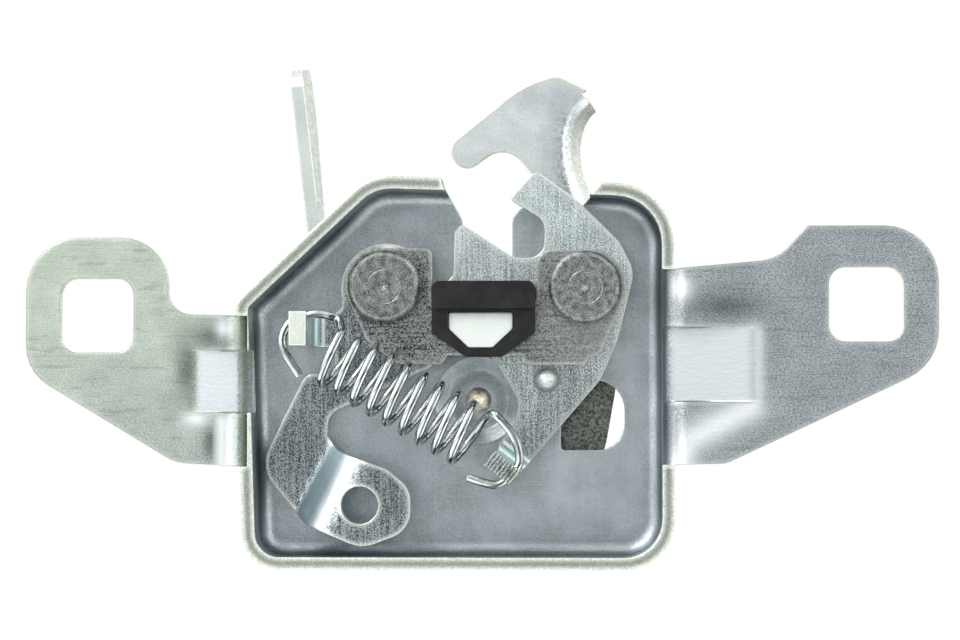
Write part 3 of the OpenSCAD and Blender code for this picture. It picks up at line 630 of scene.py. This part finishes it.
def pawl_finish(settings):
    """Sandy pawl with a pale tab end, a smooth ramp to its cable eye, and painted highlights on the
    ramp's edge, the tab's bend and the boss.
    """
    finish = plated_finish("zinc_sandy_pawl", settings.pawl_tint, settings, ALONG_Z, sand=0.95,
                           gloss=(0.30, 0.48), depth_mm=0.05, border_mm=0.8)
    _, y, z = finish.place()
    finish.paint(finish.spread_mm(y, *TAB_END), settings.edge_tint)
    ramp = finish.product(finish.spread_mm(z, *RAMP_TOP), finish.spread_mm(y, *RAMP_BACK),
                          finish.spread_mm(y, *RAMP_FRONT))
    # Painted highlight along the ramp's edge
    finish.paint(ramp, finish.mix(finish.spread_mm(y, *RAMP_HIGHLIGHT), settings.ramp_tint,
                                  settings.highlight_tint))
    bent_flank(finish, PAWL_TAB, PAWL_TAB_WAY, settings)
    # Painted highlight on top of the boss
    finish.paint(finish.hill(*PAWL_CREST), settings.highlight_tint)
    return finish.material


# Safety catch in millimetres: start of its flange along X, where painted shade darkens the flange,
# the dull band beside the flange's bend by its two ends and reach, and the height and unevenness
# of the upper edge of the painted shade on its foot
FLANGE_START = (9.0, 11.0)
FLANGE_BEND = ((12.4, 29.0), (12.6, 19.0), 1.5)
FOOT_SHADE_TOP = (4.0, -2.0)
FOOT_SHADE_WAVER = 6.0


def catch_finish(settings):
    """Smooth safety catch with a dull flange bend, a flange darkened by painted shade, and painted
    shade with specks on its foot.
    """
    finish = plated_finish("zinc_smooth_catch", settings.catch_tint, settings, ALONG_X, sand=0.24,
                           gloss=(0.28, 0.40), depth_mm=0.03, border_mm=1.6)
    x, _, z = finish.place()
    # Painted shade on the flange
    finish.scale_where(finish.product(finish.side_mask(), finish.spread_mm(x, *FLANGE_START)), 0.7)
    blotches = finish.spread(finish.noise(2200.0, 4.0, 0.65), 0.40, 0.62)
    finish.scale_where(finish.product(finish.stroke(*FLANGE_BEND), blotches), 0.5)
    # Painted shade on the foot, with specks; its upper edge wavers
    shade_waver = finish.noise(300.0, 4.0)
    low = finish.spread_mm(finish.total((z, 1.0), (shade_waver, FOOT_SHADE_WAVER * MM)), *FOOT_SHADE_TOP)
    front = finish.spread(finish.facing()["Y"], 0.2, -0.2)
    shade_specks = finish.spread(finish.noise(2600.0, 4.0, 0.65), 0.38, 0.62, 0.35, 1.7)
    finish.paint(finish.product(low, front), finish.shade(settings.catch_shade, shade_specks))
    return finish.material


# Finishes of the rivets, the wires and the buffer

# Lighter ring near the edge of a rivet head, and its lighter middle, in millimetres
PALE_RING = (4.65, 4.98, 0.1)
PALE_MIDDLE = (0.9, 0.2)


def turned_finish(name, centre, light, dark, ring_mm=0.42):
    """Rivet steel with turned rings about its axis."""
    finish = Finish(name)
    from_axis = finish.from_axis(centre)
    wobble = finish.noise(900.0, 3.0)
    phase = finish.total((from_axis, math.tau / (ring_mm * MM)), (wobble, 3.0))
    ring = finish.spread(finish.math("SINE", phase), -1.0, 1.0)
    stain = finish.noise(1000.0, 5.0)
    specks = finish.noise(4200.0, 2.0)
    value = finish.total((ring, 0.05), (stain, 0.45), (specks, 0.50))
    finish.colour(finish.mix(finish.spread(value, 0.35, 0.63), dark, light))
    pale_marks = finish.together(finish.band(from_axis, *PALE_RING),
                           finish.spread_mm(from_axis, *PALE_MIDDLE))
    finish.scale_where(pale_marks, 1.5)
    finish.roughness(finish.spread(stain, 0.35, 0.65, 0.36, 0.52))
    finish.bump(finish.total((ring, 0.04), (specks, 0.8)), 0.5, 0.03)
    return finish.material


# Way along the main spring's coil, across the painted dark reflection line on its wire
WIRE_WAY = (0.91, -0.42)


def wire_finish(name, settings):
    """Drawn wire with dull bands, and a painted dark reflection line and painted shade on the flanks
    of its front.
    """
    finish = Finish(name)
    bands = finish.noise(700.0, 4.0)
    specks = finish.noise(5200.0, 2.0)
    value = finish.total((bands, 0.7), (specks, 0.3))
    finish.colour(finish.mix(finish.spread(value, 0.36, 0.62), settings.wire_dark,
                             settings.wire_light))
    x, y, z = finish.facing()
    across = finish.total((x, WIRE_WAY[0]), (z, WIRE_WAY[1]))
    line = finish.product(finish.spread(across, 0.02, 0.10), finish.spread(across, 0.52, 0.40))
    flank = finish.spread(finish.math("ABSOLUTE", across), 0.80, 0.92)
    front = finish.spread(y, 0.1, -0.1)
    # Painted reflection and painted shade: dark line and dark flanks on the wire's front
    finish.scale_where(finish.product(finish.together(line, flank), front), 0.16)
    finish.roughness(finish.spread(bands, 0.35, 0.65, 0.16, 0.08))
    finish.bump(specks, 0.15, 0.005)
    return finish.material


def rubber_finish(settings):
    """Moulded rubber with a dull skin and a little dust."""
    finish = Finish("rubber_black_moulded", metallic=0.0)
    dust = finish.noise(380.0, 6.0, 0.65)
    skin = finish.noise(3800.0, 3.0)
    finish.colour(finish.mix(finish.spread(dust, 0.45, 0.72), settings.rubber,
                             settings.rubber_dust))
    finish.shader.inputs["Specular IOR Level"].default_value = 0.25
    finish.roughness(finish.spread(dust, 0.35, 0.7, 0.42, 0.68))
    finish.bump(finish.total((skin, 0.6), (dust, 0.4)), 0.4, 0.05)
    return finish.material


# Mesh helpers

# Gap that the facets of one face are joined across, and the least angles of rounded and of
# sharp edges
WELD_GAP = 0.001 * MM
ROUNDED_ANGLE = math.radians(40.0)
SHARP_ANGLE = math.radians(35.0)


def dress(node, material, edge_break=0.0):
    """Give a CAD node its finish, and shade its bends evenly up to its sharp edges."""
    piece = frame["nodes"][node]
    piece.data.materials.clear()
    piece.data.materials.append(material)
    piece.data.polygons.foreach_set("use_smooth", [True] * len(piece.data.polygons))
    weld = piece.modifiers.new("Join facets", "WELD")
    weld.merge_threshold = WELD_GAP
    if edge_break > 0.0:
        bevel = piece.modifiers.new("Edge break", "BEVEL")
        bevel.width = edge_break
        bevel.segments = 2
        bevel.limit_method = "ANGLE"
        bevel.angle_limit = ROUNDED_ANGLE
        bevel.miter_outer = "MITER_ARC"
    split = piece.modifiers.new("Keep edges sharp", "EDGE_SPLIT")
    split.split_angle = SHARP_ANGLE
    shading = piece.modifiers.new("Even shading", "WEIGHTED_NORMAL")
    shading.keep_sharp = True


def resample(points, step):
    """Smooth curve through the points, in about even steps."""
    dense = []
    last = len(points) - 1
    for i in range(last):
        a, b, c, d = (points[max(i - 1, 0)], points[i], points[i + 1], points[min(i + 2, last)])
        count = max(2, int((c - b).length / step * 2))
        for k in range(count):
            t = k / count
            dense.append(0.5 * ((2 * b) + (c - a) * t + (2 * a - 5 * b + 4 * c - d) * t * t
                                + (3 * b - a - 3 * c + d) * t ** 3))
    dense.append(points[-1].copy())
    return dense


def tube(name, path, radius, sides):
    """Round wire along a path, with closed ends."""
    mesh = bmesh.new()
    tangent = (path[1] - path[0]).normalized()
    side = tangent.orthogonal().normalized()
    rings = []
    for i, centre in enumerate(path):
        ahead = path[min(i + 1, len(path) - 1)] - path[max(i - 1, 0)]
        ahead.normalize()
        side = tangent.rotation_difference(ahead) @ side
        side = (side - ahead * side.dot(ahead)).normalized()
        tangent = ahead
        up = tangent.cross(side)
        rings.append([
            mesh.verts.new(centre + radius * (math.cos(a) * side + math.sin(a) * up))
            for a in (math.tau * k / sides for k in range(sides))])
    for low, high in zip(rings, rings[1:]):
        for k in range(sides):
            mesh.faces.new((low[k], low[(k + 1) % sides], high[(k + 1) % sides], high[k]))
    mesh.faces.new(reversed(rings[0]))
    mesh.faces.new(rings[-1])
    for face in mesh.faces:
        face.smooth = len(face.verts) == 4
    data = bpy.data.meshes.new(name)
    mesh.to_mesh(data)
    mesh.free()
    piece = bpy.data.objects.new(name, data)
    bpy.context.scene.collection.objects.link(piece)
    return piece


# Pressed and turned pieces

class LATCH_OT_base_plate(bpy.types.Operator):
    """Finish the pressed pan with its ears"""

    bl_idname = "latch.base_plate"
    bl_label = "Base plate"

    def execute(self, context):
        dress("base_plate", pan_finish(context.scene.latch_finish))
        return {"FINISHED"}


class LATCH_OT_levers(bpy.types.Operator):
    """Finish the claw, the pawl and the bridge plate over them"""

    bl_idname = "latch.levers"
    bl_label = "Levers and bridge plate"

    def execute(self, context):
        settings = context.scene.latch_finish
        dress("claw", claw_finish(settings))
        dress("bridge_plate", cover_finish(settings))
        dress("pawl", pawl_finish(settings))
        return {"FINISHED"}


class LATCH_OT_rivets(bpy.types.Operator):
    """Finish the two pivot rivets, the claw's stud and the greased dome"""

    bl_idname = "latch.rivets"
    bl_label = "Rivets and stud"

    def execute(self, context):
        settings = context.scene.latch_finish
        for node, centre in (("pawl_rivet", PAWL_PIVOT), ("claw_rivet", CLAW_PIVOT)):
            dress(node, turned_finish("rivet_steel_" + node, centre, settings.rivet_light,
                                      settings.rivet_dark), settings.edge_break)
        dress("claw_stud", turned_finish("rivet_steel_stud", STUD_MIDDLE, settings.stud_light,
                                         settings.rivet_light, ring_mm=0.5))
        dress("catch_rivet", turned_finish("greased_dome", CATCH_PIVOT, settings.grease_light,
                                           settings.grease_dark, ring_mm=0.6), settings.edge_break)
        return {"FINISHED"}


class LATCH_OT_buffer(bpy.types.Operator):
    """Finish the rubber buffer"""

    bl_idname = "latch.buffer"
    bl_label = "Buffer"

    def execute(self, context):
        settings = context.scene.latch_finish
        dress("buffer", rubber_finish(settings), settings.edge_break)
        return {"FINISHED"}


class LATCH_OT_safety_catch(bpy.types.Operator):
    """Finish the safety catch"""

    bl_idname = "latch.safety_catch"
    bl_label = "Safety catch"

    def execute(self, context):
        dress("safety_catch", catch_finish(context.scene.latch_finish))
        return {"FINISHED"}


# Springs

def spring_wire(name, node, path, wire, sides, finish):
    """Wire along a path, in place of a spring's plain solid."""
    piece = tube(name, path, wire / 2, sides)
    piece.data.materials.append(finish)
    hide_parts(node)
    return piece


# Main spring, as in the part's source: places in millimetres from the two tabs
COIL_START = (4.45, -3.65)
COIL_END = (-4.1, 4.15)
PAWL_HOOK = ((0.2, -7.0), (-1.6, -4.2), (-2.4, -2.4), (-2.3, -0.8), (-1.4, 0.8), (0.0, 1.5),
             (1.4, 1.95), (2.8, 2.2), (4.5, 1.9), (5.9, 1.3))
CLAW_HOOK = ((-1.3, 7.85), (-0.1, 6.8), (1.4, 4.9), (2.25, 2.8), (2.45, 0.8), (1.65, -0.45),
             (0.7, -1.4), (-0.2, -2.15), (-1.3, -2.5), (-2.8, -2.2), (-5.2, -1.4))
SPRING_Y = -3.6 * MM
# Angles on the coil in degrees: its first point, the step between points, the lap of its two
# lengths of wire, how far before and after the lap they stay with the base, the part of the
# last turn left out, and the lead into the claw's hook
COIL_FIRST = 30
COIL_STEP = 20
COIL_LAP = 10
COIL_SHORT = 60
HOOK_LEAD = 30
# Turns of the coil that go with the pawl, the rest go with the claw
PAWL_TURNS = 2
MAIN_STEP = 0.35 * MM


def spring_place(tab, offset):
    """Place on the spring's plane, from its offset from a tab."""
    return Vector((tab.x + offset[0] * MM, SPRING_Y, tab.z + offset[1] * MM))


class LATCH_OT_main_spring(bpy.types.Operator):
    """Wind the tension spring between the pawl's tab and the claw's tab"""

    bl_idname = "latch.main_spring"
    bl_label = "Main spring"

    def execute(self, context):
        sizes = context.scene.latch_spring
        start = spring_place(PAWL_TAB, COIL_START)
        end = spring_place(CLAW_TAB, COIL_END)
        along = (end - start).normalized()
        up = Vector((-along.z, 0.0, along.x))
        pitch = (end - start).length / sizes.turns
        radius = (sizes.coil - sizes.wire) / 2

        def coil_point(degrees):
            turn = math.radians(degrees)
            return (start + along * pitch * degrees / 360 + up * radius * math.cos(turn)
                    + Vector((0.0, -radius * math.sin(turn), 0.0)))

        split = 360 * PAWL_TURNS
        last = 360 * sizes.turns - COIL_SHORT
        near = [spring_place(PAWL_TAB, p) for p in PAWL_HOOK]
        near += [coil_point(a) for a in range(COIL_FIRST, split + 1, COIL_STEP)]
        far = [coil_point(a) for a in range(split - COIL_LAP, last + 1, COIL_STEP)]
        far += [coil_point(last + HOOK_LEAD)]
        far += [spring_place(CLAW_TAB, p) for p in CLAW_HOOK]
        finish = wire_finish("spring_steel_drawn", context.scene.latch_finish)
        pawl_end = spring_wire("main_spring_pawl_end", "main_spring", resample(near, MAIN_STEP),
                               sizes.wire, sizes.sides, finish)
        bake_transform(pawl_end)
        claw_end = spring_wire("main_spring_claw_end", "main_spring", resample(far, MAIN_STEP),
                               sizes.wire, sizes.sides, finish)
        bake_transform(claw_end)
        return {"FINISHED"}


# Return spring, as in the part's source: places from the catch's axis
RETURN_FOOT = Vector((-19.4, 0.0, -10.7)) * MM
RETURN_HOOK = Vector((21.5, 0.0, 6.0)) * MM
RETURN_RADIUS = 4.4 * MM
RETURN_Y = 13.4 * MM
RETURN_TURNS = 3
RETURN_GAP = 0.05 * MM
FOOT_END_Y = 7.6 * MM
HOOK_END_Y = 10.8 * MM
# Points on a turn, steps along the wire, bends in wire diameters, the share of a bend that its
# corner is cut by, and how far to each side of the axis the wire goes over from the base to
# the catch
RETURN_POINTS = 24
RETURN_STEP = 0.4 * MM
LEG_BEND = 1.5
CORNER_CUT = 0.3


def leave_angle(to, way):
    """Angle at which a straight leg leaves the coil."""
    return math.atan2(to.z, to.x) + way * math.acos(RETURN_RADIUS / to.length)


def return_leg(to, leaves, y, end_y, bend):
    """Leg from its end at the front to where it leaves the coil."""
    corner = Vector((to.x, y, to.z))
    back = (leaves - to).normalized()
    return [Vector((to.x, end_y, to.z)), Vector((to.x, (y - bend + end_y) / 2, to.z)),
            Vector((to.x, y - bend, to.z)),
            corner + CORNER_CUT * (back * bend - Vector((0.0, bend, 0.0))),
            corner + back * bend,
            corner + back * (leaves - to).length / 2]


class LATCH_OT_catch_spring(bpy.types.Operator):
    """Wind the return spring on the spool behind the safety catch"""

    bl_idname = "latch.catch_spring"
    bl_label = "Return spring"

    def execute(self, context):
        sizes = context.scene.latch_spring
        pitch = sizes.back_wire + RETURN_GAP
        first = leave_angle(RETURN_FOOT, 1) + math.tau
        last = leave_angle(RETURN_HOOK, -1) + math.tau * (RETURN_TURNS + 1)

        def coil_point(turn):
            return Vector((RETURN_RADIUS * math.cos(turn),
                           RETURN_Y + pitch * (turn - first) / math.tau,
                           RETURN_RADIUS * math.sin(turn)))

        steps = RETURN_POINTS * RETURN_TURNS
        coil = [coil_point(first + (last - first) * i / steps) for i in range(steps + 1)]
        bend = LEG_BEND * sizes.back_wire
        flat = [Vector((p.x, 0.0, p.z)) for p in (coil[0], coil[-1])]
        path = return_leg(RETURN_FOOT, flat[0], coil[0].y, FOOT_END_Y, bend) + coil
        path += reversed(return_leg(RETURN_HOOK, flat[1], coil[-1].y, HOOK_END_Y, bend))
        pivot = Vector((CATCH_PIVOT.x, 0.0, CATCH_PIVOT.z))
        piece = spring_wire("catch_spring_wire", "catch_spring",
                            resample([p + pivot for p in path], RETURN_STEP), sizes.back_wire,
                            sizes.sides, wire_finish("spring_steel_return",
                                                     context.scene.latch_finish))
        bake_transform(piece)
        return {"FINISHED"}


# Stage

WORLD_WHITE = (1.0, 1.0, 1.0)
MIRRORED_WHITE = (0.97, 0.99, 1.0)
# Bands of light that the metal mirrors: where each starts and ends along its axis, as a part
# of the direction, and its strength there
HEIGHT_BAND = (-0.5, 0.6, 0.30, 1.5)
LEFT_BAND = (-0.10, -0.42, 0.56, 1.75)
RIGHT_BAND = (0.22, 0.55, 0.0, 1.05)
PAPER_DARK = (0.86, 0.86, 0.86)
PAPER_LIGHT = (0.9, 0.9, 0.9)
FLOOR_SIDES = 96
# Lights in millimetres
KEY_PLACE = (-330.0, -330.0, 420.0)
KEY_WIDTH = 300.0
FILL_PLACE = (380.0, -420.0, 60.0)
FILL_WIDTH = 360.0
# Width of the camera's sensor in millimetres, and its nearest and farthest view in metres
SENSOR_WIDTH = 36.0
NEAREST = 0.01
FARTHEST = 20.0


def studio_world():
    """Even white behind the part, and bands of light that the metal mirrors."""
    world = bpy.data.worlds.new("studio")
    world.use_nodes = True
    tree = world.node_tree
    tree.nodes.clear()
    out = tree.nodes.new("ShaderNodeOutputWorld")
    coords = tree.nodes.new("ShaderNodeTexCoord")
    split = tree.nodes.new("ShaderNodeSeparateXYZ")
    tree.links.new(coords.outputs["Generated"], split.inputs[0])

    def band(axis, values):
        node = tree.nodes.new("ShaderNodeMapRange")
        node.interpolation_type = "SMOOTHSTEP"
        tree.links.new(split.outputs[axis], node.inputs[0])
        for socket, value in zip(node.inputs[1:5], values):
            socket.default_value = value
        return node.outputs[0]

    def join(operation, a, b):
        node = tree.nodes.new("ShaderNodeMath")
        node.operation = operation
        tree.links.new(a, node.inputs[0])
        tree.links.new(b, node.inputs[1])
        return node.outputs[0]

    sides = join("ADD", band("X", LEFT_BAND), band("X", RIGHT_BAND))
    light = join("MULTIPLY", band("Z", HEIGHT_BAND), sides)
    mirrored = tree.nodes.new("ShaderNodeBackground")
    tree.links.new(light, mirrored.inputs["Strength"])
    mirrored.inputs["Color"].default_value = (*MIRRORED_WHITE, 1.0)
    seen = tree.nodes.new("ShaderNodeBackground")
    seen.inputs["Color"].default_value = (*WORLD_WHITE, 1.0)
    path = tree.nodes.new("ShaderNodeLightPath")
    pick = tree.nodes.new("ShaderNodeMixShader")
    tree.links.new(path.outputs["Is Camera Ray"], pick.inputs[0])
    tree.links.new(mirrored.outputs[0], pick.inputs[1])
    tree.links.new(seen.outputs[0], pick.inputs[2])
    tree.links.new(pick.outputs[0], out.inputs["Surface"])
    return world


def paper_finish():
    """Pale paper with a faint fibre."""
    finish = Finish("pale_paper", metallic=0.0)
    fibre = finish.noise(900.0, 4.0)
    finish.colour(finish.mix(fibre, PAPER_DARK, PAPER_LIGHT))
    finish.roughness(finish.spread(fibre, 0.3, 0.7, 0.8, 0.95))
    return finish.material


def paper_floor(scene, radius, drop):
    """Round floor under the part."""
    disc = bmesh.new()
    bmesh.ops.create_circle(disc, cap_ends=True, segments=FLOOR_SIDES, radius=radius)
    data = bpy.data.meshes.new("studio_floor")
    disc.to_mesh(data)
    disc.free()
    data.materials.append(paper_finish())
    floor = bpy.data.objects.new("studio_floor", data)
    floor.location = (0.0, 0.0, -drop)
    scene.collection.objects.link(floor)


def aim(thing, target):
    """Turn a lamp or camera so that it looks at a point."""
    thing.rotation_euler = (target - thing.location).to_track_quat("-Z", "Y").to_euler()


def soft_light(scene, name, place_mm, width_mm, watts):
    """Round soft light that looks at the part."""
    data = bpy.data.lights.new(name, "AREA")
    data.shape = "DISK"
    data.size = width_mm * MM
    data.energy = watts
    lamp = bpy.data.objects.new(name, data)
    lamp.location = Vector(place_mm) * MM
    aim(lamp, Vector((0.0, 0.0, 0.0)))
    scene.collection.objects.link(lamp)


def photo_camera(scene, stage):
    """Camera at the photograph's viewing angle."""
    lens = bpy.data.cameras.new("photo_camera")
    lens.sensor_width = SENSOR_WIDTH
    lens.lens = lens.sensor_width * stage.distance / stage.view_width
    lens.clip_start = NEAREST
    lens.clip_end = FARTHEST
    camera = bpy.data.objects.new("photo_camera", lens)
    target = Vector((0.0, 0.0, -stage.aim_height))
    around = math.cos(stage.elevation)
    camera.location = target + stage.distance * Vector((
        math.sin(stage.azimuth) * around, -math.cos(stage.azimuth) * around,
        math.sin(stage.elevation)))
    aim(camera, target)
    scene.collection.objects.link(camera)
    scene.camera = camera


class LATCH_OT_stage(bpy.types.Operator):
    """Set up the floor, the studio light and the camera"""

    bl_idname = "latch.stage"
    bl_label = "Stage"

    def execute(self, context):
        scene = context.scene
        stage = scene.latch_stage
        scene.world = studio_world()
        scene.view_settings.view_transform = "Standard"
        paper_floor(scene, stage.floor_radius, stage.floor_drop)
        soft_light(scene, "key_light", KEY_PLACE, KEY_WIDTH, stage.key_power)
        soft_light(scene, "fill_light", FILL_PLACE, FILL_WIDTH, stage.fill_power)
        photo_camera(scene, stage)
        return {"FINISHED"}


# Panel and registration

OPERATORS = (
    LATCH_OT_stage,
    LATCH_OT_base_plate,
    LATCH_OT_levers,
    LATCH_OT_rivets,
    LATCH_OT_buffer,
    LATCH_OT_safety_catch,
    LATCH_OT_main_spring,
    LATCH_OT_catch_spring,
)


class VIEW3D_PT_latch(bpy.types.Panel):
    """Pieces and settings of the latch"""

    bl_label = "Bonnet latch"
    bl_idname = "VIEW3D_PT_latch"
    bl_space_type = "VIEW_3D"
    bl_region_type = "UI"
    bl_category = "Latch"

    def draw(self, context):
        for operator in OPERATORS:
            self.layout.operator(operator.bl_idname)
        scene = context.scene
        for group in (scene.latch_finish, scene.latch_spring, scene.latch_stage):
            box = self.layout.box()
            for name in group.bl_rna.properties.keys():
                if name not in ("rna_type", "name"):
                    box.prop(group, name)


CLASSES = (LatchFinish, LatchSpring, LatchStage) + OPERATORS + (VIEW3D_PT_latch,)


def register():
    for cls in CLASSES:
        bpy.utils.register_class(cls)
    bpy.types.Scene.latch_finish = PointerProperty(type=LatchFinish)
    bpy.types.Scene.latch_spring = PointerProperty(type=LatchSpring)
    bpy.types.Scene.latch_stage = PointerProperty(type=LatchStage)


def unregister():
    del bpy.types.Scene.latch_stage
    del bpy.types.Scene.latch_spring
    del bpy.types.Scene.latch_finish
    for cls in reversed(CLASSES):
        bpy.utils.unregister_class(cls)


def main():
    register()
    bpy.ops.latch.stage()
    bpy.ops.latch.base_plate()
    bpy.ops.latch.levers()
    bpy.ops.latch.rivets()
    bpy.ops.latch.buffer()
    bpy.ops.latch.safety_catch()
    bpy.ops.latch.main_spring()
    bpy.ops.latch.catch_spring()


if __name__ == "__main__":
    main()
